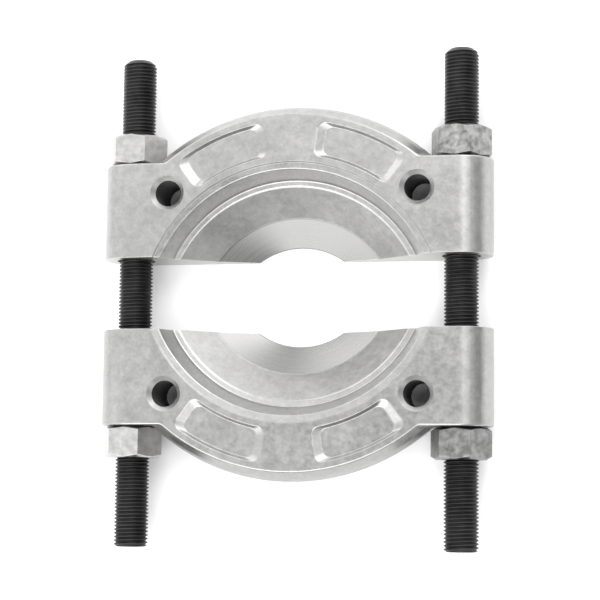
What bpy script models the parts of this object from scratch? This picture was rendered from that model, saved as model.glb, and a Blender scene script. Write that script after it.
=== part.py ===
"""Bearing separator: two forged half plates drawn together by nuts on two threaded studs.

It lies on the plates' flat backs with the dished side up. X runs across from stud to stud, Y along
the studs, Z up. The origin is on the floor, under the middle of the studs' length. Metres.
"""

import math

import bpy
from mathutils import Matrix

MM = 0.001

# Studs, M14 x 1.5
STUD_DIAMETER = 14.0 * MM
STUD_LENGTH = 204.0 * MM
REAR_END_CHAMFER = (1.9 * MM, 1.6 * MM)  # radial, axial
FRONT_END_CHAMFER = (0.6 * MM, 0.5 * MM)

# Nuts, 22 mm across flats
NUT_ACROSS_FLATS = 22.0 * MM
NUT_HEIGHT = 12.8 * MM
NUT_BORE_CLEARANCE = 0.3 * MM
NUT_COUNTERSINK = 0.8 * MM
NUT_CHAMFER_ANGLE = math.radians(30.0)
NUT_FACE_SHARE = 0.95  # chamfer circle over across flats
SEAT_GAP = 0.3 * MM
NUT_RING_CLEARANCE = 0.285 * MM  # beside the ring, as a corner turns past it

# Each nut's turn about its stud at rest, from the flat-up position
NUT_TURNS = {
    "rear_left_nut": math.radians(2.0),
    "rear_right_nut": math.radians(8.0),
    "front_left_nut": math.radians(4.0),
    "front_right_nut": math.radians(7.0),
}

# Half plates
PLATE_THICKNESS = 26.0 * MM
LUG_DEPTH = 39.5 * MM
LUG_EDGE_CHAMFER = (0.8 * MM, 1.0 * MM)  # inwards, along Y
STUD_HOLE_CLEARANCE = 0.5 * MM
STUD_HOLE_CHAMFER = 0.5 * MM
JAW_GAP = 29.5 * MM
GAP_MIDDLE_Y = 1.9 * MM

# All arcs of a plate are struck from one centre, this far beyond its split face
ARC_CENTRE_BEYOND_SPLIT = 24.4 * MM

# Dished recess, from the thin edge outwards: machined cone, sloping dish, narrow shelf, steep wall,
# ledge and a low step up to the face
EDGE_RADIUS = 30.4 * MM
EDGE_THICKNESS = 0.8 * MM
CONE_WIDTH = 11.7 * MM
CONE_HEIGHT = 7.6 * MM
DISH_WIDTH = 11.7 * MM
SHELF_DEPTH = 8.2 * MM  # below the front face
SHELF_WIDTH = 2.4 * MM
SHELF_RISE = 0.3 * MM
WALL_WIDTH = 3.7 * MM
LEDGE_WIDTH = 2.6 * MM
LEDGE_RISE = 0.3 * MM
STEP_WIDTH = 0.5 * MM
STEP_HEIGHT = 0.5 * MM

# Ring round the recess, widest at its parting line, where the draft turns
RING_WIDTH = 23.5 * MM
PARTING_DEPTH = 6.4 * MM  # below the front face
OUTER_BACK_DRAFT = 1.9 * MM
OUTER_FRONT_DRAFT = 1.3 * MM
OUTER_BEVEL_WIDTH = 2.6 * MM
OUTER_BEVEL_HEIGHT = 3.4 * MM
LUG_FILLET_RADIUS = 3.5 * MM

# Tapped holes for a puller's legs, M12 x 1.25, widely countersunk
TAPPED_BORE_DIAMETER = 10.8 * MM
TAPPED_HOLE_CHAMFER = 1.8 * MM
TAPPED_HOLE_ANGLE = math.radians(45.5)  # from the plate's middle line
TAPPED_HOLE_LAND = 2.7 * MM  # to the recess
TAPPED_TO_STUD_WALL = 1.5 * MM

# Shallow pockets in the ring face, with the land left on each side
POCKET_OUTER_LAND = 2.8 * MM
POCKET_INNER_LAND = 2.6 * MM
POCKET_END_LAND = 3.1 * MM  # to the tapped hole's mouth
POCKET_NEAR_ANGLE = math.radians(8.0)
POCKET_DEPTH = 2.4 * MM
POCKET_SIDE_DRAFT = 1.5 * MM
POCKET_END_DRAFT = 3.6 * MM
POCKET_CORNER_RADIUS = 3.2 * MM

# Fineness of the round shapes
TURN_STEPS = 112
END_STEPS = 14
HOLE_STEPS = 32
STUD_STEPS = 40
NUT_STEPS = 36
ARC_STEPS = 34
FILLET_STEPS = 4
CORNER_STEPS = 4
POCKET_ARC_STEPS = 6
SHARP_EDGE_ANGLE = math.radians(28.0)
CUT_OVERRUN = 1.0 * MM

CONE_RADIUS = EDGE_RADIUS + CONE_WIDTH
SHELF_RADIUS = CONE_RADIUS + DISH_WIDTH
WALL_FOOT_RADIUS = SHELF_RADIUS + SHELF_WIDTH
WALL_TOP_RADIUS = WALL_FOOT_RADIUS + WALL_WIDTH
STEP_RADIUS = WALL_TOP_RADIUS + LEDGE_WIDTH
RECESS_RADIUS = STEP_RADIUS + STEP_WIDTH
OUTER_RADIUS = RECESS_RADIUS + RING_WIDTH
OUTER_BACK_RADIUS = OUTER_RADIUS - OUTER_BACK_DRAFT
OUTER_FRONT_RADIUS = OUTER_RADIUS - OUTER_FRONT_DRAFT
OUTER_FACE_RADIUS = OUTER_FRONT_RADIUS - OUTER_BEVEL_WIDTH
POCKET_OUTER_RADIUS = OUTER_FACE_RADIUS - POCKET_OUTER_LAND
POCKET_INNER_RADIUS = RECESS_RADIUS + POCKET_INNER_LAND

AXIS_HEIGHT = PLATE_THICKNESS / 2
SPLIT_FROM_MIDDLE = JAW_GAP / 2
NUT_SEAT_FROM_SPLIT = LUG_DEPTH + SEAT_GAP
NUT_CORNER_RADIUS = NUT_ACROSS_FLATS / 2 / math.cos(math.pi / 6)
NUT_FACE_RADIUS = NUT_FACE_SHARE * NUT_ACROSS_FLATS / 2
STUD_HOLE_RADIUS = STUD_DIAMETER / 2 + STUD_HOLE_CLEARANCE

TAPPED_BORE_RADIUS = TAPPED_BORE_DIAMETER / 2
TAPPED_MOUTH_RADIUS = TAPPED_BORE_RADIUS + TAPPED_HOLE_CHAMFER
TAPPED_HOLE_RADIUS = RECESS_RADIUS + TAPPED_HOLE_LAND + TAPPED_MOUTH_RADIUS
TAPPED_HOLE_X = TAPPED_HOLE_RADIUS * math.sin(TAPPED_HOLE_ANGLE)
TAPPED_HOLE_Y = TAPPED_HOLE_RADIUS * math.cos(TAPPED_HOLE_ANGLE) - ARC_CENTRE_BEYOND_SPLIT
POCKET_FAR_ANGLE = TAPPED_HOLE_ANGLE - (TAPPED_MOUTH_RADIUS + POCKET_END_LAND) / TAPPED_HOLE_RADIUS


def clear_scene():
    for obj in list(bpy.data.objects):
        bpy.data.objects.remove(obj)


def metal(name, colour, roughness):
    material = bpy.data.materials.new(name)
    material.use_nodes = True
    shader = material.node_tree.nodes["Principled BSDF"]
    shader.inputs["Base Color"].default_value = (*colour, 1.0)
    shader.inputs["Metallic"].default_value = 1.0
    shader.inputs["Roughness"].default_value = roughness
    return material


def loft(name, loops, closed_through=False):
    """A closed mesh through loops of equal point counts: capped, or joined last to first."""
    count = len(loops[0])
    points = [point for loop in loops for point in loop]
    faces = []
    pairs = [(i, i + 1) for i in range(len(loops) - 1)]
    if closed_through:
        pairs.append((len(loops) - 1, 0))
    for low, high in pairs:
        for i in range(count):
            j = (i + 1) % count
            faces.append((low * count + i, low * count + j, high * count + j, high * count + i))
    if not closed_through:
        faces.append(tuple(reversed(range(count))))
        faces.append(tuple((len(loops) - 1) * count + i for i in range(count)))
    mesh = bpy.data.meshes.new(name)
    mesh.from_pydata(points, [], faces)
    mesh.validate()
    return mesh


def circle(radius, height, steps):
    """Points round the Z axis, anticlockwise."""
    turns = [2 * math.pi * i / steps for i in range(steps)]
    return [(radius * math.cos(t), radius * math.sin(t), height) for t in turns]


def turned(name, profile, steps):
    """A solid of revolution about Z. The profile lists (radius, height) upwards along the outside."""
    return loft(name, [circle(radius, height, steps) for radius, height in profile])


def cutter(name, mesh, matrix):
    obj = bpy.data.objects.new(name, mesh)
    bpy.context.scene.collection.objects.link(obj)
    obj.matrix_world = matrix
    obj.hide_render = True
    obj.display_type = "WIRE"
    return obj


def outer_radius(z):
    """The ring's drafted outer wall: widest at the parting line, bevelled towards the front face."""
    steps = [
        (0.0, OUTER_BACK_RADIUS),
        (PLATE_THICKNESS - PARTING_DEPTH, OUTER_RADIUS),
        (PLATE_THICKNESS - OUTER_BEVEL_HEIGHT, OUTER_FRONT_RADIUS),
        (PLATE_THICKNESS, OUTER_FACE_RADIUS),
    ]
    for (z0, r0), (z1, r1) in zip(steps, steps[1:]):
        if z <= z1:
            return r0 + (r1 - r0) * (z - z0) / (z1 - z0)
    return OUTER_FACE_RADIUS


def nut_chamfer_drop(radius):
    """How far the nut's chamfer falls from its face at a radius."""
    return (radius - NUT_FACE_RADIUS) * math.tan(NUT_CHAMFER_ANGLE)


def stud_x():
    """The studs' distance from the middle line: a nut turns clear of the ring, and the stud's hole
    leaves a wall to the tapped hole."""
    corner_y = NUT_SEAT_FROM_SPLIT + nut_chamfer_drop(NUT_CORNER_RADIUS)
    reach = outer_radius(AXIS_HEIGHT)
    ring_x = math.sqrt(reach**2 - (ARC_CENTRE_BEYOND_SPLIT + corner_y) ** 2)
    beside_ring = ring_x + NUT_CORNER_RADIUS + NUT_RING_CLEARANCE
    beside_hole = TAPPED_HOLE_X + TAPPED_MOUTH_RADIUS + TAPPED_TO_STUD_WALL + STUD_HOLE_RADIUS
    return max(beside_ring, beside_hole)


STUD_X = stud_x()


def nose_x(z, drawn_in):
    """Where the lugs' bull nose ends at height z, with its radius drawn in by a chamfer."""
    reach = AXIS_HEIGHT - drawn_in
    return STUD_X + math.sqrt(max(reach**2 - (z - AXIS_HEIGHT) ** 2, 0.0))


def plate_outline(z):
    """The half plate's outline at height z, from its split face (y = 0) outwards."""
    chamfer_in, chamfer_along = LUG_EDGE_CHAMFER
    drawn_in = min(z, PLATE_THICKNESS - z, chamfer_in)
    lug_y = LUG_DEPTH - chamfer_in + drawn_in
    radius = outer_radius(z)
    fillet_y = lug_y + LUG_FILLET_RADIUS
    reach = radius + LUG_FILLET_RADIUS
    fillet_x = math.sqrt(reach**2 - (ARC_CENTRE_BEYOND_SPLIT + fillet_y) ** 2)
    ring_angle = math.asin(fillet_x / reach)
    nose = nose_x(z, 0.0)
    right = [(nose, 0.0), (nose, LUG_DEPTH - chamfer_along), (nose_x(z, drawn_in), lug_y)]
    for i in range(FILLET_STEPS + 1):
        turn = -math.pi / 2 - ring_angle * i / FILLET_STEPS
        right.append(
            (
                fillet_x + LUG_FILLET_RADIUS * math.cos(turn),
                fillet_y + LUG_FILLET_RADIUS * math.sin(turn),
            )
        )
    for i in range(1, ARC_STEPS // 2):
        angle = ring_angle * (1 - 2 * i / ARC_STEPS)
        right.append((radius * math.sin(angle), radius * math.cos(angle) - ARC_CENTRE_BEYOND_SPLIT))
    left = [(-x, y) for x, y in reversed(right)]
    top = [(0.0, radius - ARC_CENTRE_BEYOND_SPLIT)]
    return [(x, y, z) for x, y in right + top + left]


def plate_body():
    """The forging before machining: bull-nosed lugs and the drafted ring, as one loft along Z."""
    heights = {AXIS_HEIGHT * (1 - math.cos(math.pi * i / END_STEPS)) for i in range(END_STEPS + 1)}
    heights |= {
        LUG_EDGE_CHAMFER[0],
        PLATE_THICKNESS - LUG_EDGE_CHAMFER[0],
        PLATE_THICKNESS - PARTING_DEPTH,
        PLATE_THICKNESS - OUTER_BEVEL_HEIGHT,
    }
    return loft("plate_body", [plate_outline(z) for z in sorted(heights)])


def dish_profile():
    """(radius, height) from the thin edge up to the front face."""
    shelf_z = PLATE_THICKNESS - SHELF_DEPTH
    ledge_z = PLATE_THICKNESS - STEP_HEIGHT
    return [
        (EDGE_RADIUS, -CUT_OVERRUN),
        (EDGE_RADIUS, EDGE_THICKNESS),
        (CONE_RADIUS, CONE_HEIGHT),
        (SHELF_RADIUS, shelf_z),
        (WALL_FOOT_RADIUS, shelf_z + SHELF_RISE),
        (WALL_TOP_RADIUS, ledge_z - LEDGE_RISE),
        (STEP_RADIUS, ledge_z),
        (RECESS_RADIUS, PLATE_THICKNESS),
        (RECESS_RADIUS, PLATE_THICKNESS + CUT_OVERRUN),
    ]


def pocket_outline(inset, z):
    """One pocket's outline at a depth, drawn in by inset (0 at the face, 1 at the floor)."""
    inner = POCKET_INNER_RADIUS + POCKET_SIDE_DRAFT * inset
    outer = POCKET_OUTER_RADIUS - POCKET_SIDE_DRAFT * inset
    middle = (POCKET_INNER_RADIUS + POCKET_OUTER_RADIUS) / 2
    near = POCKET_NEAR_ANGLE + POCKET_END_DRAFT * inset / middle
    far = POCKET_FAR_ANGLE - POCKET_END_DRAFT * inset / middle
    corner = POCKET_CORNER_RADIUS
    points = []
    corners = [(outer, far, -1, -1), (outer, near, -1, 1), (inner, near, 1, 1), (inner, far, 1, -1)]
    for k, (radius, angle, inwards, along) in enumerate(corners):
        centre_r = radius + inwards * corner
        centre_a = angle + along * corner / centre_r
        centre = (centre_r * math.sin(centre_a), centre_r * math.cos(centre_a))
        for i in range(CORNER_STEPS + 1):
            turn = math.pi / 2 * (k + i / CORNER_STEPS) - centre_a
            points.append(
                (centre[0] + corner * math.cos(turn), centre[1] + corner * math.sin(turn))
            )
        if k in (0, 2):
            other = corners[k + 1]
            first = angle + along * corner / radius
            last = other[1] + other[3] * corner / radius
            for i in range(1, POCKET_ARC_STEPS):
                a = first + (last - first) * i / POCKET_ARC_STEPS
                points.append((radius * math.sin(a), radius * math.cos(a)))
    return [(x, y - ARC_CENTRE_BEYOND_SPLIT, z) for x, y in points]


def pocket_cutter():
    over = CUT_OVERRUN / POCKET_DEPTH
    top = PLATE_THICKNESS + CUT_OVERRUN
    floor = PLATE_THICKNESS - POCKET_DEPTH
    return loft("pocket_cut", [pocket_outline(1.0, floor), pocket_outline(-over, top)])


def hole_profile(bore_radius, mouth, length):
    """(radius, height) of a through hole with a 45 degree mouth at each end, run past both faces."""
    wide = bore_radius + mouth + CUT_OVERRUN
    return [
        (wide, -CUT_OVERRUN),
        (bore_radius, mouth),
        (bore_radius, length - mouth),
        (wide, length + CUT_OVERRUN),
    ]


def jaw_mesh():
    """One half plate, machined: split face on y = 0, flat back on z = 0."""
    body = bpy.data.objects.new("plate", plate_body())
    bpy.context.scene.collection.objects.link(body)
    centre = Matrix.Translation((0.0, -ARC_CENTRE_BEYOND_SPLIT, 0.0))
    cutters = [cutter("dish_cut", turned("dish_cut", dish_profile(), TURN_STEPS), centre)]
    tapped = hole_profile(TAPPED_BORE_RADIUS, TAPPED_HOLE_CHAMFER, PLATE_THICKNESS)
    stud_hole = hole_profile(STUD_HOLE_RADIUS, STUD_HOLE_CHAMFER, LUG_DEPTH)
    along_y = Matrix.Rotation(-math.pi / 2, 4, "X")
    for side in (-1, 1):
        at = Matrix.Translation((side * TAPPED_HOLE_X, TAPPED_HOLE_Y, 0.0))
        cutters.append(cutter("tapped_cut", turned("tapped_cut", tapped, HOLE_STEPS), at))
        at = Matrix.Translation((side * STUD_X, 0.0, AXIS_HEIGHT)) @ along_y
        cutters.append(cutter("stud_cut", turned("stud_cut", stud_hole, HOLE_STEPS), at))
        pocket = pocket_cutter()
        if side < 0:
            pocket.transform(Matrix.Scale(-1.0, 4, (1.0, 0.0, 0.0)))
            pocket.flip_normals()
        cutters.append(cutter("pocket_cut", pocket, Matrix.Identity(4)))
    for tool in cutters:
        cut = body.modifiers.new(tool.name, "BOOLEAN")
        cut.operation = "DIFFERENCE"
        cut.object = tool
    bpy.context.view_layer.update()
    graph = bpy.context.evaluated_depsgraph_get()
    mesh = bpy.data.meshes.new_from_object(body.evaluated_get(graph))
    mesh.name = "jaw"
    for obj in [body, *cutters]:
        bpy.data.objects.remove(obj)
    return mesh


def nut_mesh():
    """A chamfered hex nut standing on z = 0 round the Z axis, with a corner towards +X."""
    bore_radius = STUD_DIAMETER / 2 + NUT_BORE_CLEARANCE
    mouth_radius = bore_radius + NUT_COUNTERSINK
    turns = [2 * math.pi * i / NUT_STEPS for i in range(NUT_STEPS)]
    side = [
        NUT_ACROSS_FLATS / 2 / math.cos(t % (math.pi / 3) - math.pi / 6)
        for t in turns
    ]
    low = [(r * math.cos(t), r * math.sin(t), nut_chamfer_drop(r)) for r, t in zip(side, turns)]
    high = [(x, y, NUT_HEIGHT - z) for x, y, z in low]
    loops = [
        circle(bore_radius, NUT_COUNTERSINK, NUT_STEPS),
        circle(mouth_radius, 0.0, NUT_STEPS),
        circle(NUT_FACE_RADIUS, 0.0, NUT_STEPS),
        low,
        high,
        circle(NUT_FACE_RADIUS, NUT_HEIGHT, NUT_STEPS),
        circle(mouth_radius, NUT_HEIGHT, NUT_STEPS),
        circle(bore_radius, NUT_HEIGHT - NUT_COUNTERSINK, NUT_STEPS),
    ]
    return loft("nut", loops, closed_through=True)


def stud_mesh():
    """A stud along +Z from its front end to its rear end."""
    radius = STUD_DIAMETER / 2
    front_in, front_along = FRONT_END_CHAMFER
    rear_in, rear_along = REAR_END_CHAMFER
    profile = [
        (radius - front_in, 0.0),
        (radius, front_along),
        (radius, STUD_LENGTH - rear_along),
        (radius - rear_in, STUD_LENGTH),
    ]
    return turned("stud", profile, STUD_STEPS)


def place(name, mesh, matrix, parent=None):
    obj = bpy.data.objects.new(name, mesh)
    bpy.context.scene.collection.objects.link(obj)
    obj.parent = parent
    bpy.context.view_layer.update()
    obj.matrix_world = matrix
    return obj


def finish(mesh, material):
    mesh.materials.clear()
    mesh.materials.append(material)
    mesh.shade_smooth()
    mesh.set_sharp_from_angle(angle=SHARP_EDGE_ANGLE)


def build():
    clear_scene()
    jaw = jaw_mesh()
    nut = nut_mesh()
    stud = stud_mesh()
    finish(jaw, metal("jaw_steel", (0.58, 0.58, 0.58), 0.42))
    finish(nut, metal("nut_steel", (0.62, 0.62, 0.61), 0.32))
    finish(stud, metal("stud_black", (0.035, 0.036, 0.036), 0.45))

    along_y = Matrix.Rotation(-math.pi / 2, 4, "X")
    for side, word in ((-1, "left"), (1, "right")):
        at = Matrix.Translation((side * STUD_X, -STUD_LENGTH / 2, AXIS_HEIGHT))
        place(f"{word}_stud", stud, at @ along_y)

    for end, word in ((1, "rear"), (-1, "front")):
        facing = Matrix.Rotation(0.0 if end > 0 else math.pi, 4, "Z")
        split = Matrix.Translation((0.0, GAP_MIDDLE_Y + end * SPLIT_FROM_MIDDLE, 0.0))
        plate = place(f"{word}_jaw", jaw, split @ facing)
        for side, hand in ((-1, "left"), (1, "right")):
            name = f"{word}_{hand}_nut"
            seat_y = GAP_MIDDLE_Y + end * (SPLIT_FROM_MIDDLE + NUT_SEAT_FROM_SPLIT)
            at = Matrix.Translation((side * STUD_X, seat_y, AXIS_HEIGHT))
            outwards = Matrix.Rotation(-end * math.pi / 2, 4, "X")
            turn = Matrix.Rotation(-end * NUT_TURNS[name], 4, "Z")
            place(name, nut, at @ outwards @ turn, plate)


build()
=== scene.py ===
"""Looks of the bearing separator: fine meshes of its half plates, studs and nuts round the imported
frame, their metal finishes, a pale studio and the camera. Lengths are millimetres until a mesh is made.
"""

import math

import bmesh
import bpy
import numpy as np
from mathutils import Matrix, Vector
from mathutils.geometry import delaunay_2d_cdt


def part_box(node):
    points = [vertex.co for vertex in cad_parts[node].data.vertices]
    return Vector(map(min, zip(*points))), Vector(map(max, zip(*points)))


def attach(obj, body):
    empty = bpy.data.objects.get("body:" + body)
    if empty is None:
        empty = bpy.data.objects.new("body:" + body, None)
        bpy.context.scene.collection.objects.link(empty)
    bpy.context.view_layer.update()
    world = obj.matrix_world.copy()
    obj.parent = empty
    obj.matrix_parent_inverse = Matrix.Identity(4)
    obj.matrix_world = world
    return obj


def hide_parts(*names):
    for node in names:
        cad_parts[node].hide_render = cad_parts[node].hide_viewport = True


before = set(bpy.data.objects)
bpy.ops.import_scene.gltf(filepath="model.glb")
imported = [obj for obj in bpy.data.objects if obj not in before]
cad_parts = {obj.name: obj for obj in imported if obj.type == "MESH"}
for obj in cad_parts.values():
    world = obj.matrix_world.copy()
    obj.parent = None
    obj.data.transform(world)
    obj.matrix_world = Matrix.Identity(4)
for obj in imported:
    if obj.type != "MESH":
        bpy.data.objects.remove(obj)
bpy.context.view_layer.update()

MM = 0.001


def box_mm(node):
    low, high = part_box(node)
    return low / MM, high / MM


REAR_JAW_BOX = box_mm("rear_jaw")
FRONT_JAW_BOX = box_mm("front_jaw")
STUD_BOX = box_mm("right_stud")
REAR_NUT_BOX = box_mm("rear_right_nut")
FRONT_NUT_BOX = box_mm("front_right_nut")

# What the frame gives
THICKNESS = REAR_JAW_BOX[1].z - REAR_JAW_BOX[0].z
REAR_SPLIT_Y = REAR_JAW_BOX[0].y
FRONT_SPLIT_Y = FRONT_JAW_BOX[1].y
STUD_X = (STUD_BOX[0].x + STUD_BOX[1].x) / 2
AXIS_Z = (STUD_BOX[0].z + STUD_BOX[1].z) / 2
STUD_RADIUS = (STUD_BOX[1].x - STUD_BOX[0].x) / 2
STUD_LENGTH = STUD_BOX[1].y - STUD_BOX[0].y
NUT_HEIGHT = REAR_NUT_BOX[1].y - REAR_NUT_BOX[0].y
SEAT_GAP = 0.3
LUG_DEPTH = REAR_NUT_BOX[0].y - SEAT_GAP - REAR_SPLIT_Y

# Arcs of a half plate are struck from one centre, this far beyond its split face
ARC_CENTRE = 24.4

# Dished recess, from the thin edge outwards: cone, dish, shelf, wall, ledge and a step to the face
EDGE_RADIUS = 30.4
EDGE_THICKNESS = 0.8
CONE_RADIUS = 42.1
CONE_HEIGHT = 7.6
SHELF_RADIUS = 53.8
SHELF_DEPTH = 8.2
WALL_FOOT_RADIUS = 56.2
WALL_FOOT_DEPTH = 7.9
WALL_TOP_RADIUS = 59.9
WALL_TOP_DEPTH = 0.8
STEP_RADIUS = 62.5
STEP_HEIGHT = 0.5
RECESS_RADIUS = 63.0
DISH_ROUNDINGS = (0.25, 0.3, 0.8, 1.0, 2.0, 6.0, 0.45, 0.22)
DISH_STUB = 0.5  # straight of face or back that the first and last rounding run into
DISH_COLUMNS = 133

# Outer wall of the ring, widest at the parting line
OUTER_RADIUS = REAR_JAW_BOX[1].y - REAR_SPLIT_Y + ARC_CENTRE
PARTING_DEPTH = 6.4
OUTER_BACK_DRAFT = 1.9
OUTER_FRONT_DRAFT = 1.3
OUTER_BEVEL_WIDTH = 2.6
OUTER_BEVEL_HEIGHT = 3.4
OUTER_ROUNDINGS = (0.5, 2.0, 1.6, 1.0)
OUTER_STUB = 3.0
LUG_FILLET = 3.5
FILLET_STEPS = 6
RING_STEPS = 52
LEVEL_STEPS = 40
LEVEL_GAP = 0.05  # least distance between two rows of the wall

# Tapped holes, M12 x 1.25, and the shallow pockets between them
TAPPED_PITCH = 1.25
TAPPED_MINOR_RADIUS = 5.4
TAPPED_MAJOR_RADIUS = 6.0
TAPPED_MOUTH_RADIUS = 7.2
TAPPED_HOLE_ANGLE = math.radians(45.5)
TAPPED_HOLE_LAND = 2.7
TAPPED_HOLE_RADIUS = RECESS_RADIUS + TAPPED_HOLE_LAND + TAPPED_MOUTH_RADIUS
TAPPED_MAJOR_SHARE = 0.2
TAPPED_MINOR_SHARE = 0.3
TAPPED_STEPS = 64
POCKET_OUTER_LAND = 2.8
POCKET_INNER_LAND = 2.6
POCKET_END_LAND = 3.1
POCKET_NEAR_ANGLE = math.radians(8.0)
POCKET_DEPTH = 1.4
POCKET_SIDE_RAMP = 1.0
POCKET_END_RAMP = 4.2
POCKET_CORNER = 3.2
POCKET_LIP = 0.3  # how far the lip's rounding reaches past the pocket's edge
POCKET_LEVEL_SHARE = 0.15  # share of the way down that is level, at the lip and again at the floor
POCKET_ROUNDING = 0.25
POCKET_STEPS = 6
POCKET_ARC_STEPS = 20

# Broken and rounded edges
SPLIT_EDGE = 0.2
LUG_EDGE = 0.9
BORE_PLAY = 0.5
BORE_RADIUS = STUD_RADIUS + BORE_PLAY
BORE_MOUTH = 0.5
BORE_STEPS = 64
EDGE_STEPS = 4
LUG_COLUMNS = 1 + EDGE_STEPS  # the column where the lug's flat end starts

# Nuts, M14
NUT_ACROSS_FLATS = 22.0
NUT_CORNER = 0.3
NUT_BORE_RADIUS = STUD_RADIUS + 0.1
NUT_COUNTERSINK = 0.9
NUT_CHAMFER = math.radians(30.0)
NUT_FACE_SHARE = 0.95
NUT_EDGE = 0.2
NUT_TURNS = {"rear_left": 2.0, "rear_right": 8.0, "front_left": 4.0, "front_right": 7.0}
# Each nut's tones are painted light and shade: the same nut drawn lighter or darker by how light falls
# on it in its place.
NUT_LIT_AND_SHADED_TONES = {  # darkest and lightest tone of each nut's skin
    "rear_left": (0.36, 0.49),
    "rear_right": (0.16, 0.42),
    "front_left": (0.37, 0.5),
    "front_right": (0.13, 0.28),
}

# Studs, M14 x 1.5
STUD_PITCH = 1.5
STUD_THREAD_DEPTH = 0.78
STUD_ROOT_RADIUS = STUD_RADIUS - STUD_THREAD_DEPTH
STUD_REAR_END = (2.2, 1.8)  # radial, axial
STUD_FRONT_END = (1.1, 0.6)
STUD_END_STUB = 3.0
STUD_END_ROUNDING = 1.5
STUD_CREST_SHARE = 0.26
STUD_ROOT_SHARE = 0.22
STUD_STEPS = 48

# Points closer than this are one, and edges that turn by more than these angles stay sharp
WELD = 0.0002
PLATE_SHARP = math.radians(38)
STUD_SHARP = math.radians(75)
NUT_SHARP = math.radians(32)
FLAT_WEIGHT = 70  # how strongly large faces steer the smooth shading

# Finishes of a half plate's surfaces, in the order of its materials. The bored finish is painted shade:
# a near-black colour inside the holes.
FORGED, CONE, MILLED, BORED_PAINTED_SHADE = range(4)

# The studio: a low even light, the camera's shade overhead, and rings of soft lamps. Each ring has its
# height angle, and its lamps' brightness by azimuth, in degrees from +X towards +Y. The lamps'
# places and brightnesses are rounded from a least-squares fit to the photo's tones.
STUDIO_LIGHT = 0.3
CAMERA_SHADE = -3.0
LAMP_SHARPNESS = 28.0
LAMP_RINGS = (
    (70, {60: 3.4, 120: 1.6, 180: 0.6, 240: 1.6, 300: 3.7}),
    (50, {0: 0.9, 65: 4.5, 164: 0.9, 229: 2.8, 262: 3.7}),
    (30, {48: 1.9, 72: 1.3, 120: 1.8, 144: 1.8, 192: 1.8, 216: 1.8, 240: 1.5, 276: 0.8, 336: 0.6}),
    (10, {21: 0.8, 53: 1.6, 85: 1.9, 106: 1.8, 127: 1.8, 148: 1.8, 180: 1.2, 212: 0.9, 318: 1.2}),
)
DARKEST_SKY = 0.03
FLOOR_COLOUR = (0.9, 0.9, 0.9, 1.0)
FLOOR_SIZE = 4000.0
FLOOR_DROP = 0.2

# The photo's camera: its place and directions, and its lens and sensor in millimetres
CAMERA_AT = Vector((155.3, -79.8, 732.5))
CAMERA_RIGHT = Vector((0.9782, 0.0111, -0.2073))
CAMERA_FORWARD = Vector((-0.2073, 0.1073, -0.9724))
CAMERA_LENS = 108.0
CAMERA_SENSOR = 36.0
CAMERA_REACH = 20000.0


def rounded(points, radii, steps=EDGE_STEPS):
    """A polyline whose inner corners are arcs of the given radii."""
    points = [np.array(p, float) for p in points]
    result = [points[0]]
    for before, corner, after, radius in zip(points, points[1:], points[2:], radii):
        into = (corner - before) / np.linalg.norm(corner - before)
        out = (after - corner) / np.linalg.norm(after - corner)
        turn = math.atan2(into[0] * out[1] - into[1] * out[0], into @ out)
        side = math.copysign(radius, turn)
        start = corner - into * radius * math.tan(abs(turn) / 2)
        centre = start + side * np.array((-into[1], into[0]))
        arm = start - centre
        for i in range(steps + 1):
            c, s = math.cos(turn * i / steps), math.sin(turn * i / steps)
            result.append(centre + (c * arm[0] - s * arm[1], s * arm[0] + c * arm[1]))
    result.append(points[-1])
    return np.array(result)


def circle(centre, radius, steps):
    turns = 2 * math.pi * np.arange(steps) / steps
    return np.column_stack((centre[0] + radius * np.cos(turns), centre[1] + radius * np.sin(turns)))


def closed(rows):
    """Rows whose last point repeats the first."""
    rows = np.asarray(rows, float)
    return np.concatenate((rows, rows[:, :1]), axis=1)


def lifted(points, z):
    return np.column_stack((points, np.full(len(points), z)))


def upright(points, y):
    return np.column_stack((points[:, 0], np.full(len(points), y), points[:, 1]))


def mirrored(points):
    return np.asarray(points) * (-1.0, 1.0, 1.0)


def without_repeats(loop):
    """A loop without the points that lie on the one before."""
    step = np.linalg.norm(loop - np.roll(loop, 1, axis=0), axis=1)
    return loop[step > WELD]


def inset(loop, distance):
    """An anticlockwise loop drawn in by a distance."""
    ahead = np.roll(loop, -1, axis=0) - loop
    ahead /= np.linalg.norm(ahead, axis=1)[:, None]
    normal = np.column_stack((-ahead[:, 1], ahead[:, 0]))
    both = normal + np.roll(normal, 1, axis=0)
    both /= np.linalg.norm(both, axis=1)[:, None]
    stretch = np.einsum("ij,ij->i", both, normal)
    return loop + distance * both / stretch[:, None]


def inside(points, starts, ends):
    """Which points lie within loops by the even-odd rule, given the loops' edges."""
    x, y = points[:, :1], points[:, 1:]
    rise = ends[:, 1] - starts[:, 1]
    safe = np.where(rise == 0, 1.0, rise)
    crosses = (starts[:, 1] > y) != (ends[:, 1] > y)
    at = starts[:, 0] + (y - starts[:, 1]) * (ends[:, 0] - starts[:, 0]) / safe
    return (crosses & (x < at)).sum(axis=1) % 2 == 1


def clear_of(points, starts, ends, distance):
    """Which points keep a distance from all edges."""
    along = ends - starts
    length = (along**2).sum(axis=1)
    offset = points[:, None] - starts[None]
    share = np.clip((offset * along[None]).sum(axis=2) / length, 0, 1)
    gap = offset - share[..., None] * along[None]
    return (gap**2).sum(axis=2).min(axis=1) > distance**2


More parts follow.
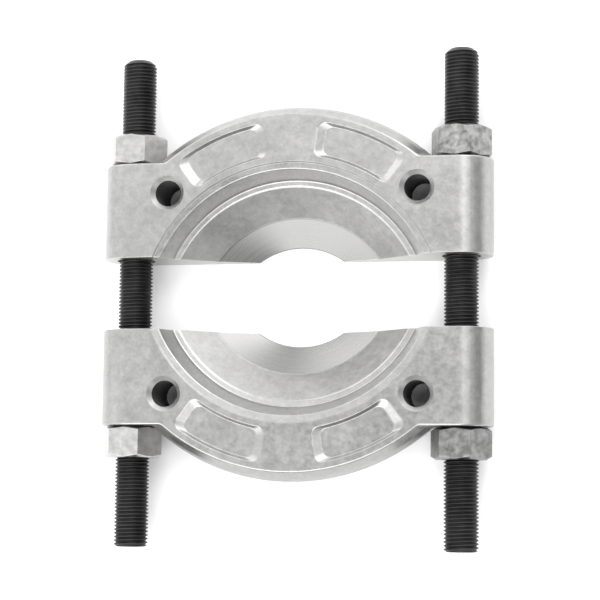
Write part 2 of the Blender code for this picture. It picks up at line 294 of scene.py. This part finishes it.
class Surface:
    """Gathers the grids and flat patches of one closed surface. Seams weld where points meet."""

    def __init__(self):
        self.points = []
        self.faces = []
        self.finishes = []

    def _add(self, points, faces, finish):
        start = len(self.points)
        self.points.extend(map(tuple, points))
        self.faces.extend(tuple(start + i for i in face) for face in faces)
        self.finishes.extend([finish] * len(faces))

    def grid(self, rows, finish=FORGED, leave_out=None):
        """Quads between rows of equally many points, apart from those that leave_out(i, j) names."""
        rows = np.asarray(rows, float)
        count = rows.shape[1]
        faces = [
            (i * count + j, i * count + j + 1, (i + 1) * count + j + 1, (i + 1) * count + j)
            for i in range(rows.shape[0] - 1)
            for j in range(count - 1)
            if leave_out is None or not leave_out(i, j)
        ]
        self._add(rows.reshape(-1, 3), faces, finish)

    def patch(self, loops, lift, finish=FORGED, spacing=3.0):
        """A flat area bounded by 2D loops, the first round the others. lift turns 2D points into 3D."""
        loops = [without_repeats(loop) for loop in loops]
        starts = np.vstack(loops)
        ends = np.vstack([np.roll(loop, -1, axis=0) for loop in loops])
        low, high = starts.min(axis=0), starts.max(axis=0)
        xs = np.arange(low[0] + spacing / 2, high[0], spacing)
        ys = np.arange(low[1] + spacing / 2, high[1], spacing)
        lattice = np.array([(x, y) for x in xs for y in ys])
        lattice = lattice[inside(lattice, starts, ends)]
        lattice = lattice[clear_of(lattice, starts, ends, spacing / 2)]
        edges = []
        first = 0
        for loop in loops:
            edges += [(first + i, first + (i + 1) % len(loop)) for i in range(len(loop))]
            first += len(loop)
        points = [Vector(p) for p in np.vstack((starts, lattice))]
        points, _, triangles, *_ = delaunay_2d_cdt(points, edges, [], 0, 1e-6)
        flat = np.array(points)
        middles = flat[np.array(triangles)].mean(axis=1)
        kept = inside(middles, starts, ends)
        triangles = [t for t, keep in zip(triangles, kept) if keep]
        self._add(lift(flat), triangles, finish)

    def mesh(self, name, matrix, sharp_angle):
        mesh = bpy.data.meshes.new(name)
        mesh.from_pydata([Vector(p) * MM for p in self.points], [], self.faces)
        mesh.polygons.foreach_set("material_index", self.finishes)
        bm = bmesh.new()
        bm.from_mesh(mesh)
        bmesh.ops.remove_doubles(bm, verts=bm.verts, dist=WELD * MM)
        bmesh.ops.dissolve_degenerate(bm, edges=bm.edges, dist=WELD * MM)
        bmesh.ops.recalc_face_normals(bm, faces=bm.faces)
        bm.to_mesh(mesh)
        bm.free()
        mesh.transform(matrix)
        mesh.shade_smooth()
        mesh.set_sharp_from_angle(angle=sharp_angle)
        return mesh


def ring_profile():
    """(height, radius) up the ring's outer wall, from the back to the face, with rounded corners."""
    face_radius = OUTER_RADIUS - OUTER_FRONT_DRAFT - OUTER_BEVEL_WIDTH
    back_radius = OUTER_RADIUS - OUTER_BACK_DRAFT
    corners = [
        (0.0, back_radius - OUTER_STUB),
        (0.0, back_radius),
        (THICKNESS - PARTING_DEPTH, OUTER_RADIUS),
        (THICKNESS - OUTER_BEVEL_HEIGHT, OUTER_RADIUS - OUTER_FRONT_DRAFT),
        (THICKNESS, face_radius),
        (THICKNESS, face_radius - OUTER_STUB),
    ]
    return rounded(corners, OUTER_ROUNDINGS)[1:-1]


def plate_levels(profile):
    """Heights of the outer wall's rows: the profile's corners, then closer and closer to the faces."""
    levels = [*profile[:, 0], LUG_EDGE, THICKNESS - LUG_EDGE]
    for i in range(LEVEL_STEPS + 1):
        height = AXIS_Z * (1 - math.cos(math.pi * i / LEVEL_STEPS))
        if min(abs(height - level) for level in levels) > LEVEL_GAP:
            levels.append(height)
    return sorted(levels)


def nose_x(z, drawn_in):
    """How far right the bull nose reaches at a height, when its rounding is drawn in by a length."""
    return STUD_X + math.sqrt(max((AXIS_Z - drawn_in) ** 2 - (z - AXIS_Z) ** 2, 0.0))


def outline(z, profile):
    """The plate's outline at a height, from the right of the split face round to the left."""
    from_face = min(z, THICKNESS - z)
    sweep = math.acos(1 - min(from_face / LUG_EDGE, 1.0))
    right = [(nose_x(z, 0.0), SPLIT_EDGE)]
    for i in range(EDGE_STEPS + 1):
        turn = sweep * i / EDGE_STEPS
        drawn_in = LUG_EDGE * (1 - math.cos(turn))
        right.append((nose_x(z, drawn_in), LUG_DEPTH - LUG_EDGE * (1 - math.sin(turn))))
    radius = float(np.interp(z, profile[:, 0], profile[:, 1]))
    fillet_y = right[-1][1] + LUG_FILLET
    fillet_x = math.sqrt((radius + LUG_FILLET) ** 2 - (ARC_CENTRE + fillet_y) ** 2)
    ring_angle = math.atan2(fillet_x, ARC_CENTRE + fillet_y)
    for i in range(FILLET_STEPS + 1):
        turn = -math.pi / 2 - ring_angle * i / FILLET_STEPS
        at = (fillet_x + LUG_FILLET * math.cos(turn), fillet_y + LUG_FILLET * math.sin(turn))
        right.append(at)
    for i in range(1, RING_STEPS + 1):
        angle = ring_angle * (1 - i / RING_STEPS)
        right.append((radius * math.sin(angle), radius * math.cos(angle) - ARC_CENTRE))
    right = np.array(right)
    left = right[-2::-1] * (-1.0, 1.0)
    return np.vstack((right, left))


def dish_profile():
    """(radius, height) down the recess, from the face to the back, with rounded corners."""
    corners = [
        (RECESS_RADIUS + DISH_STUB, THICKNESS),
        (RECESS_RADIUS, THICKNESS),
        (STEP_RADIUS, THICKNESS - STEP_HEIGHT),
        (WALL_TOP_RADIUS, THICKNESS - WALL_TOP_DEPTH),
        (WALL_FOOT_RADIUS, THICKNESS - WALL_FOOT_DEPTH),
        (SHELF_RADIUS, THICKNESS - SHELF_DEPTH),
        (CONE_RADIUS, CONE_HEIGHT),
        (EDGE_RADIUS, EDGE_THICKNESS),
        (EDGE_RADIUS, 0.0),
        (EDGE_RADIUS + DISH_STUB, 0.0),
    ]
    return rounded(corners, DISH_ROUNDINGS)


def pocket_rows():
    """Rows of one pocket from its lip down to its floor."""
    inner = RECESS_RADIUS + POCKET_INNER_LAND
    outer = OUTER_RADIUS - OUTER_FRONT_DRAFT - OUTER_BEVEL_WIDTH - POCKET_OUTER_LAND
    middle = (inner + outer) / 2
    far_land = (TAPPED_MOUTH_RADIUS + POCKET_END_LAND) / TAPPED_HOLE_RADIUS
    far = TAPPED_HOLE_ANGLE - far_land
    bend = POCKET_LEVEL_SHARE
    corners = [(0.0, 0.0), (bend, 0.0), (1 - bend, 1.0), (1.0, 1.0)]
    shape = rounded(corners, (POCKET_ROUNDING, POCKET_ROUNDING), POCKET_STEPS)
    rows = []
    for share, drop in shape:
        side = -POCKET_LIP + share * (POCKET_SIDE_RAMP + 2 * POCKET_LIP)
        end = -POCKET_LIP + share * (POCKET_END_RAMP + 2 * POCKET_LIP)
        r0, r1 = inner + side, outer - side
        a0, a1 = POCKET_NEAR_ANGLE + end / middle, far - end / middle
        rows.append(pocket_loop(r0, r1, a0, a1, THICKNESS - POCKET_DEPTH * drop))
    return np.array(rows)


def pocket_loop(r0, r1, a0, a1, z):
    """A rounded ring sector, anticlockwise from its outer far corner."""
    points = []
    corners = [(r1, a1, -1, -1), (r1, a0, -1, 1), (r0, a0, 1, 1), (r0, a1, 1, -1)]
    for k, (radius, angle, inwards, along) in enumerate(corners):
        arm = radius + inwards * POCKET_CORNER
        at = angle + along * POCKET_CORNER / arm
        for i in range(POCKET_STEPS + 1):
            turn = math.pi / 2 * (k + i / POCKET_STEPS) - at
            x = arm * math.sin(at) + POCKET_CORNER * math.cos(turn)
            y = arm * math.cos(at) + POCKET_CORNER * math.sin(turn)
            points.append((x, y - ARC_CENTRE, z))
        if k in (0, 2):
            other = corners[k + 1]
            first = angle + along * POCKET_CORNER / radius
            last = other[1] + other[3] * POCKET_CORNER / radius
            for a in np.linspace(first, last, POCKET_ARC_STEPS)[1:-1]:
                points.append((radius * math.sin(a), radius * math.cos(a) - ARC_CENTRE, z))
    return points


def thread_rows(length, pitch, crest, root, limit, steps, crest_share, root_share):
    """Rows of a right-handed thread about Z, one for each corner of its profile in each turn.
    limit(radius, height) trims the ends, and heights past them fold onto the end circles."""
    flank = (1 - crest_share - root_share) / 2
    profile = [
        (0.0, crest),
        (crest_share, crest),
        (crest_share + flank, root),
        (crest_share + flank + root_share, root),
    ]
    turns = 2 * math.pi * np.arange(steps + 1) / steps
    rows = []
    for k in range(-1, math.ceil(length / pitch) + 1):
        for share, radius in profile:
            z = np.clip((k + share + turns / (2 * math.pi)) * pitch, 0.0, length)
            r = limit(radius, z)
            rows.append(np.column_stack((r * np.cos(turns), r * np.sin(turns), z)))
    return np.array(rows)


def tapped_hole(surface, side):
    """A tapped hole with countersunk mouths, on the right (1) or the left (-1)."""
    x = side * TAPPED_HOLE_RADIUS * math.sin(TAPPED_HOLE_ANGLE)
    y = TAPPED_HOLE_RADIUS * math.cos(TAPPED_HOLE_ANGLE) - ARC_CENTRE
    mouth = circle((x, y), TAPPED_MOUTH_RADIUS, TAPPED_STEPS)
    throat = circle((x, y), TAPPED_MINOR_RADIUS, TAPPED_STEPS)
    sink = TAPPED_MOUTH_RADIUS - TAPPED_MINOR_RADIUS
    surface.grid(closed([lifted(mouth, 0.0), lifted(throat, sink)]), MILLED)
    surface.grid(closed([lifted(mouth, THICKNESS), lifted(throat, THICKNESS - sink)]), MILLED)
    depth = THICKNESS - 2 * sink

    def limit(radius, z):
        return np.minimum(radius, TAPPED_MINOR_RADIUS + np.minimum(z, depth - z))

    rows = thread_rows(
        depth,
        TAPPED_PITCH,
        TAPPED_MAJOR_RADIUS,
        TAPPED_MINOR_RADIUS,
        limit,
        TAPPED_STEPS,
        TAPPED_MAJOR_SHARE,
        TAPPED_MINOR_SHARE,
    )
    surface.grid(rows + (x, y, sink), BORED_PAINTED_SHADE)
    return mouth


def stud_bore(surface, flip):
    """The plain hole that a stud passes through, along Y. Returns its mouth in X and Z."""
    mouth = circle((STUD_X, AXIS_Z), BORE_RADIUS + BORE_MOUTH, BORE_STEPS)
    bore = circle((STUD_X, AXIS_Z), BORE_RADIUS, BORE_STEPS)
    rows = []
    for loop, y in (
        (mouth, 0.0),
        (bore, BORE_MOUTH),
        (bore, LUG_DEPTH - BORE_MOUTH),
        (mouth, LUG_DEPTH),
    ):
        rows.append(np.column_stack((loop[:, 0], np.full(len(loop), y), loop[:, 1])))
    surface.grid(flip(closed(rows)), BORED_PAINTED_SHADE)
    return mouth


def half_plate():
    """One half plate: split face on y = 0, flat back on z = 0."""
    surface = Surface()
    profile = ring_profile()
    levels = plate_levels(profile)
    outlines = [outline(z, profile) for z in levels]
    rows = [np.column_stack((loop, np.full(len(loop), z))) for loop, z in zip(outlines, levels)]
    last = len(outlines[0]) - 1

    def on_lug_end(i, j):
        within = LUG_EDGE <= levels[i] and levels[i + 1] <= THICKNESS - LUG_EDGE
        return within and j in (LUG_COLUMNS, last - 1 - LUG_COLUMNS)

    surface.grid(rows, FORGED, on_lug_end)

    dish = dish_profile()
    reach = ARC_CENTRE + SPLIT_EDGE
    spread = np.linspace(-1.0, 1.0, DISH_COLUMNS)
    dish_rows = []
    for radius, z in dish:
        angles = spread * math.acos(reach / radius)
        x, y = radius * np.sin(angles), radius * np.cos(angles) - ARC_CENTRE
        dish_rows.append(np.column_stack((x, y, np.full(len(x), z))))
    cone_start = int(np.argmin(np.abs(dish[:, 0] - CONE_RADIUS)))
    surface.grid(dish_rows[: cone_start + 1])
    surface.grid(dish_rows[cone_start:], CONE)

    tapped = [tapped_hole(surface, side) for side in (-1, 1)]
    pocket = pocket_rows()
    floor = pocket[-1][:, :2]
    pocket_mouths = []
    for sign in (1.0, -1.0):
        surface.grid(closed(pocket) * (sign, 1.0, 1.0))
        surface.patch([floor * (sign, 1.0)], lambda p: lifted(p, THICKNESS - POCKET_DEPTH))
        pocket_mouths.append(pocket[0][:, :2] * (sign, 1.0))

    face = np.vstack((outlines[-1], dish_rows[0][:, :2]))
    back = np.vstack((outlines[0], dish_rows[-1][:, :2]))
    surface.patch([face, *tapped, *pocket_mouths], lambda p: lifted(p, THICKNESS))
    surface.patch([back, *tapped], lambda p: lifted(p, 0.0))

    nose = np.array([(nose_x(z, 0.0), z) for z in levels])
    bowl = np.column_stack((np.sqrt(dish[:, 0] ** 2 - reach**2), dish[:, 1]))
    section = np.vstack((nose, bowl))
    split_rows = []
    for i in range(EDGE_STEPS + 1):
        turn = math.pi / 2 * i / EDGE_STEPS
        loop = inset(section, SPLIT_EDGE * (1 - math.cos(turn)))
        y = SPLIT_EDGE * (1 - math.sin(turn))
        split_rows.append(np.column_stack((loop[:, 0], np.full(len(loop), y), loop[:, 1])))
    edge = inset(section, SPLIT_EDGE)
    ends = [(row[LUG_COLUMNS], z) for row, z in zip(outlines, levels)]
    starts = [(row[LUG_COLUMNS + 1], z) for row, z in zip(outlines, levels)]
    flat = [(p[0], z) for p, z in ends if LUG_EDGE <= z <= THICKNESS - LUG_EDGE]
    flat += [(p[0], z) for p, z in reversed(starts) if LUG_EDGE <= z <= THICKNESS - LUG_EDGE]
    for flip in (np.asarray, mirrored):
        surface.grid(flip(closed(split_rows)), MILLED)
        mouth = stud_bore(surface, flip)
        surface.patch([edge, mouth], lambda p: flip(upright(p, 0.0)), MILLED)
        surface.patch([np.array(flat), mouth], lambda p: flip(upright(p, LUG_DEPTH)))
    return surface


def threaded_stud():
    """A stud about Z, from its front end at z = 0 to its rear end."""
    rear = rounded(
        [
            (STUD_LENGTH - STUD_END_STUB, STUD_RADIUS),
            (STUD_LENGTH - STUD_REAR_END[1], STUD_RADIUS),
            (STUD_LENGTH, STUD_RADIUS - STUD_REAR_END[0]),
        ],
        (STUD_END_ROUNDING,),
    )
    front = [(0.0, STUD_RADIUS - STUD_FRONT_END[0]), (STUD_FRONT_END[1], STUD_RADIUS)]
    trim = np.vstack((front, rear))

    def limit(radius, z):
        return np.minimum(radius, np.interp(z, trim[:, 0], trim[:, 1]))

    surface = Surface()
    rows = thread_rows(
        STUD_LENGTH,
        STUD_PITCH,
        STUD_RADIUS,
        STUD_ROOT_RADIUS,
        limit,
        STUD_STEPS,
        STUD_CREST_SHARE,
        STUD_ROOT_SHARE,
    )
    surface.grid(rows)
    for z, radius in ((0.0, trim[0, 1]), (STUD_LENGTH, trim[-1, 1])):
        caps = [lifted(circle((0.0, 0.0), radius * share, STUD_STEPS), z) for share in (1.0, 0.55, 0.0)]
        surface.grid(closed(caps))
    return surface


def hex_nut():
    """A nut standing on z = 0 about Z, with a corner towards +X."""
    circumradius = NUT_ACROSS_FLATS / 2 / math.cos(math.pi / 6)
    corners = [
        circumradius * np.array((math.cos(a), math.sin(a)))
        for a in np.radians(np.arange(0, 421, 60))
    ]
    hexagon = rounded(
        [(corners[0] + corners[1]) / 2, *corners[1:-1], (corners[-2] + corners[-1]) / 2],
        [NUT_CORNER] * 6,
    )
    middles = (hexagon[:-1] + hexagon[1:]) / 2
    hexagon = np.array([p for pair in zip(hexagon[:-1], middles) for p in pair])
    reach = np.linalg.norm(hexagon, axis=1)
    ray = hexagon / reach[:, None]
    face_radius = NUT_FACE_SHARE * NUT_ACROSS_FLATS / 2

    def ring(radius, z):
        return np.column_stack((ray * np.reshape(radius, (-1, 1)), np.broadcast_to(z, len(ray))))

    def drop(radius):
        return np.maximum(radius - face_radius, 0.0) * math.tan(NUT_CHAMFER)

    low_side = [
        ring(np.full(len(ray), NUT_BORE_RADIUS), NUT_COUNTERSINK),
        ring(np.full(len(ray), NUT_BORE_RADIUS + NUT_COUNTERSINK), 0.0),
        ring(np.full(len(ray), face_radius - 0.3), 0.0),
        ring(np.full(len(ray), face_radius + 0.05), drop(face_radius + 0.05)),
        ring(reach - NUT_EDGE, drop(reach - NUT_EDGE)),
        ring(reach, drop(reach) + NUT_EDGE),
    ]
    high_side = [row * (1, 1, -1) + (0, 0, NUT_HEIGHT) for row in reversed(low_side)]
    surface = Surface()
    surface.grid(closed([*low_side, *high_side, low_side[0]]))
    return surface


def add_piece(name, mesh, node, body, materials):
    """A visible piece that stands for a node, rides on a body and takes its finish from a slot."""
    piece = bpy.data.objects.new(name, mesh)
    bpy.context.scene.collection.objects.link(piece)
    for material in materials:
        mesh.materials.append(material)
    normals = piece.modifiers.new("weighted_normals", "WEIGHTED_NORMAL")
    normals.keep_sharp = True
    normals.weight = FLAT_WEIGHT
    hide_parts(node)
    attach(piece, body)


class Nodes:
    """Short calls to build a node tree. An input is given a value, or a socket to link from."""

    def __init__(self, tree):
        self.tree = tree

    def add(self, kind, inputs=None, **settings):
        made = self.tree.nodes.new(kind)
        for name, value in settings.items():
            setattr(made, name, value)
        for key, value in (inputs or {}).items():
            if isinstance(value, bpy.types.NodeSocket):
                self.tree.links.new(value, made.inputs[key])
            else:
                made.inputs[key].default_value = value
        return made

    def math(self, operation, *values):
        return self.add("ShaderNodeMath", dict(enumerate(values)), operation=operation).outputs[0]

    def vector(self, operation, *values):
        return self.add("ShaderNodeVectorMath", dict(enumerate(values)), operation=operation)

    def noise(self, where, size, detail=2.0, roughness=0.5):
        """Noise from 0 to 1 whose features are about this many millimetres across."""
        inputs = {"Vector": where, "Scale": 1 / (size * MM), "Detail": detail, "Roughness": roughness}
        return self.add("ShaderNodeTexNoise", inputs).outputs["Fac"]

    def blend(self, first, share, second):
        """A share of the first value with the rest of the second."""
        return self.math("MULTIPLY_ADD", first, share, self.math("MULTIPLY", second, 1 - share))

    def spread(self, value, low, high):
        """Noise, mostly between 0.3 and 0.7, stretched to run from low to high."""
        inputs = {"Value": value, "From Min": 0.3, "From Max": 0.7, "To Min": low, "To Max": high}
        return self.add("ShaderNodeMapRange", inputs).outputs["Result"]

    def tones(self, value, dark, light):
        """A slightly warm grey that runs from dark to light with noise."""
        ramp = self.add("ShaderNodeValToRGB", {"Fac": value})
        for stop, at, tone in zip(ramp.color_ramp.elements, (0.3, 0.7), (dark, light)):
            stop.position = at
            stop.color = (tone, tone * 0.993, tone * 0.985, 1.0)
        return ramp.outputs["Color"]

    def bump(self, height, depth, below=None):
        """Relief of a height from 0 to 1, depth millimetres deep, on top of another relief."""
        inputs = {"Height": height, "Distance": depth * MM, "Strength": 1.0}
        if below is not None:
            inputs["Normal"] = below
        return self.add("ShaderNodeBump", inputs).outputs["Normal"]


def metal(name, paint):
    """A metal whose colour, roughness and relief are what paint(nodes, place) gives."""
    material = bpy.data.materials.new(name)
    material.use_nodes = True
    nodes = Nodes(material.node_tree)
    shader = material.node_tree.nodes["Principled BSDF"]
    shader.inputs["Metallic"].default_value = 1.0
    place = nodes.add("ShaderNodeTexCoord").outputs["Object"]
    colour, roughness, relief = paint(nodes, place)
    nodes.tree.links.new(colour, shader.inputs["Base Color"])
    nodes.tree.links.new(roughness, shader.inputs["Roughness"])
    nodes.tree.links.new(relief, shader.inputs["Normal"])
    return material


def forged_steel(nodes, place):
    """Blasted forging: fine grain, soft mottling and the shallow waves of a die-forged skin."""
    grain = nodes.noise(place, 1.2, 3.0)
    mottle = nodes.noise(place, 3.0, 2.0)
    clouds = nodes.noise(place, 14.0, 1.0)
    waves = nodes.noise(place, 9.0, 1.0)
    skin = nodes.blend(grain, 0.35, nodes.blend(mottle, 0.6, clouds))
    relief = nodes.bump(grain, 0.025, nodes.bump(waves, 0.10))
    return nodes.tones(skin, 0.295, 0.415), nodes.spread(skin, 0.27, 0.38), relief


def milled_steel(nodes, place):
    """Cutter marks across the split faces."""
    lines = nodes.vector("MULTIPLY", place, (0.12, 1.0, 1.0)).outputs[0]
    marks = nodes.noise(lines, 0.5, 3.0, 0.7)
    return nodes.tones(marks, 0.45, 0.53), nodes.spread(marks, 0.28, 0.42), nodes.bump(marks, 0.01)


def bored_painted_shade(nodes, place):
    """Painted shade: a near-black colour inside the drilled and tapped holes, where shade falls."""
    stain = nodes.noise(place, 1.5, 2.0)
    return nodes.tones(stain, 0.02, 0.05), nodes.spread(stain, 0.35, 0.5), nodes.bump(stain, 0.02)


def turned_steel(centre_y):
    """Lathe marks round an axis parallel to Z through the middle line at this y."""

    def paint(nodes, place):
        centred = nodes.vector("SUBTRACT", place, (0.0, centre_y * MM, 0.0)).outputs[0]
        flat = nodes.vector("MULTIPLY", centred, (1.0, 1.0, 0.0)).outputs[0]
        radius = nodes.vector("LENGTH", flat).outputs["Value"]
        scaled = nodes.math("DIVIDE", radius, MM)
        rings = nodes.add(
            "ShaderNodeTexNoise", {"W": scaled, "Scale": 1.6, "Detail": 3.0}, noise_dimensions="1D"
        ).outputs["Fac"]
        return nodes.tones(rings, 0.22, 0.235), nodes.spread(rings, 0.22, 0.30), nodes.bump(rings, 0.002)

    return paint


def black_oxide(nodes, place):
    grain = nodes.noise(place, 0.6, 3.0, 0.6)
    patches = nodes.noise(place, 7.0, 2.0)
    return nodes.tones(patches, 0.032, 0.052), nodes.spread(grain, 0.36, 0.5), nodes.bump(grain, 0.015)


def plated_steel_and_painted_shade(dark, light):
    """A nut's blotchy plated skin, from its dark tone to its light one. Each nut's pair of tones is
    painted light and shade, set by how light falls on that nut.
    """

    def paint(nodes, place):
        grain = nodes.noise(place, 0.5, 2.0)
        blotches = nodes.noise(place, 3.0, 2.0, 0.6)
        relief = nodes.bump(grain, 0.012, nodes.bump(blotches, 0.05))
        return nodes.tones(blotches, dark, light), nodes.spread(blotches, 0.28, 0.38), relief

    return paint


def build_half_plates(shared):
    for end, word, split_y in ((1, "rear", REAR_SPLIT_Y), (-1, "front", FRONT_SPLIT_Y)):
        facing = Matrix.Rotation(0.0 if end > 0 else math.pi, 4, "Z")
        at = Matrix.Translation((0.0, split_y * MM, 0.0)) @ facing
        name = f"{word}_half_plate"
        mesh = half_plate().mesh(name, at, PLATE_SHARP)
        cone = metal(f"{word}_turned_cone", turned_steel(split_y - end * ARC_CENTRE))
        finishes = (shared["forged"], cone, shared["milled"], shared["painted_bore_shade"])
        add_piece(name, mesh, f"{word}_jaw", f"{word}_jaw", finishes)


def build_studs(material):
    along_y = Matrix.Rotation(-math.pi / 2, 4, "X")
    for side, word in ((-1, "left"), (1, "right")):
        at = Matrix.Translation((side * STUD_X * MM, -STUD_LENGTH / 2 * MM, AXIS_Z * MM))
        name = f"{word}_threaded_stud"
        mesh = threaded_stud().mesh(name, at @ along_y, STUD_SHARP)
        add_piece(name, mesh, f"{word}_stud", "studs", (material,))


def build_nuts():
    for end, word, seat_y in ((1, "rear", REAR_NUT_BOX[0].y), (-1, "front", FRONT_NUT_BOX[1].y)):
        for side, hand in ((-1, "left"), (1, "right")):
            place = f"{word}_{hand}"
            at = Matrix.Translation((side * STUD_X * MM, seat_y * MM, AXIS_Z * MM))
            outwards = Matrix.Rotation(-end * math.pi / 2, 4, "X")
            turn = Matrix.Rotation(-end * math.radians(NUT_TURNS[place]), 4, "Z")
            name = f"{place}_hex_nut"
            mesh = hex_nut().mesh(name, at @ outwards @ turn, NUT_SHARP)
            # The nut's own tones paint the light and shade that falls on it.
            skin = metal(f"{place}_plated_steel_and_painted_shade", plated_steel_and_painted_shade(*NUT_LIT_AND_SHADED_TONES[place]))
            add_piece(name, mesh, f"{place}_nut", f"{place}_nut", (skin,))


def build_floor():
    bpy.ops.mesh.primitive_plane_add(size=FLOOR_SIZE * MM, location=(0.0, 0.0, -FLOOR_DROP * MM))
    floor = bpy.context.object
    floor.name = "floor"
    material = bpy.data.materials.new("floor_paper")
    material.use_nodes = True
    shader = material.node_tree.nodes["Principled BSDF"]
    shader.inputs["Base Color"].default_value = FLOOR_COLOUR
    shader.inputs["Roughness"].default_value = 0.9
    shader.inputs["Specular IOR Level"].default_value = 0.0
    floor.data.materials.append(material)


def light_studio():
    """The even light and a soft round spot in the sky for each lamp and for the camera's shade."""
    world = bpy.data.worlds.new("studio")
    bpy.context.scene.world = world
    world.use_nodes = True
    nodes = Nodes(world.node_tree)
    towards = nodes.add("ShaderNodeTexCoord").outputs["Generated"]
    spots = [(90, 0, CAMERA_SHADE)]
    for height, lamps in LAMP_RINGS:
        spots += [(height, azimuth, brightness) for azimuth, brightness in lamps.items()]
    total = STUDIO_LIGHT
    for height, azimuth, brightness in spots:
        up, round_z = math.radians(height), math.radians(azimuth)
        at = (math.cos(up) * math.cos(round_z), math.cos(up) * math.sin(round_z), math.sin(up))
        facing = nodes.vector("DOT_PRODUCT", towards, at).outputs["Value"]
        falloff = nodes.math("MULTIPLY_ADD", facing, LAMP_SHARPNESS, -LAMP_SHARPNESS)
        total = nodes.math("MULTIPLY_ADD", nodes.math("EXPONENT", falloff), brightness, total)
    background = world.node_tree.nodes["Background"]
    nodes.tree.links.new(nodes.math("MAXIMUM", total, DARKEST_SKY), background.inputs["Strength"])
    background.inputs["Color"].default_value = (1.0, 1.0, 1.0, 1.0)
    bpy.context.scene.view_settings.view_transform = "Standard"


def camera():
    """The photo's camera, level with CAMERA_RIGHT once that is square to its view."""
    data = bpy.data.cameras.new("camera")
    data.lens = CAMERA_LENS
    data.sensor_width = CAMERA_SENSOR
    data.clip_end = CAMERA_REACH * MM
    cam = bpy.data.objects.new("camera", data)
    bpy.context.scene.collection.objects.link(cam)
    back = -CAMERA_FORWARD.normalized()
    right = (CAMERA_RIGHT - CAMERA_RIGHT.dot(back) * back).normalized()
    up = back.cross(right)
    turn = Matrix((right, up, back)).transposed().to_4x4()
    cam.matrix_world = Matrix.Translation(CAMERA_AT * MM) @ turn
    bpy.context.scene.camera = cam


steel = {
    "forged": metal("forged_steel", forged_steel),
    "milled": metal("milled_steel", milled_steel),
    # The bored finish paints the holes' shade as a near-black colour.
    "painted_bore_shade": metal("bored_painted_shade", bored_painted_shade),
}
build_half_plates(steel)
build_studs(metal("black_oxide", black_oxide))
build_nuts()
build_floor()
light_studio()
camera()
